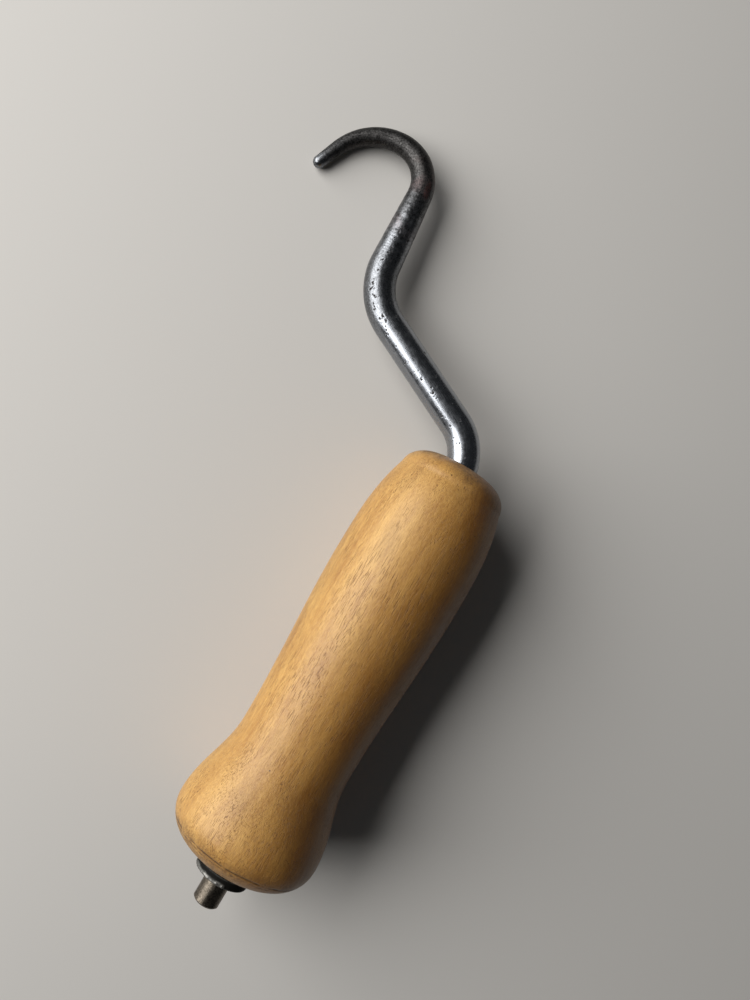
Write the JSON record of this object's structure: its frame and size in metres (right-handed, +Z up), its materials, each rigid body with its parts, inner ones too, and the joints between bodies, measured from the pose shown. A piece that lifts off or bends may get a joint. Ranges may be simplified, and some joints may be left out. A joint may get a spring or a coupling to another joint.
{
  "type": "wire twisting hook",
  "caption": "Forged steel bar bent into a crank and a hook, spinning in a turned wooden handle held on by a tack-welded washer.",
  "frame": {"origin": "centre of the bounding box's underside, on the surface that the tool lies on", "axes": "+Y runs along the handle from the washer end towards the hook; +Z up off the surface; the crank and the hook reach out to -X"},
  "size_m": [0.0886, 0.183, 0.0366],
  "materials": {
    "bar_steel": "forged, worn dark grey",
    "washer_steel": "blackened",
    "weld_metal": "as welded",
    "handle_wood": "satin lacquer"
  },
  "bodies": {
    "hook": {"hook_rod": "bar_steel", "end_washer": "washer_steel", "weld_bead": "weld_metal"},
    "grip": {"handle": "handle_wood"}
  },
  "joints": [
    {"name": "handle_spin", "type": "hinge", "parent": "hook", "child": "grip", "pos_m": [0.02598, -0.02715, 0.01707], "axis": [0, 0.9996, -0.0276], "continuous": true}
  ]
}
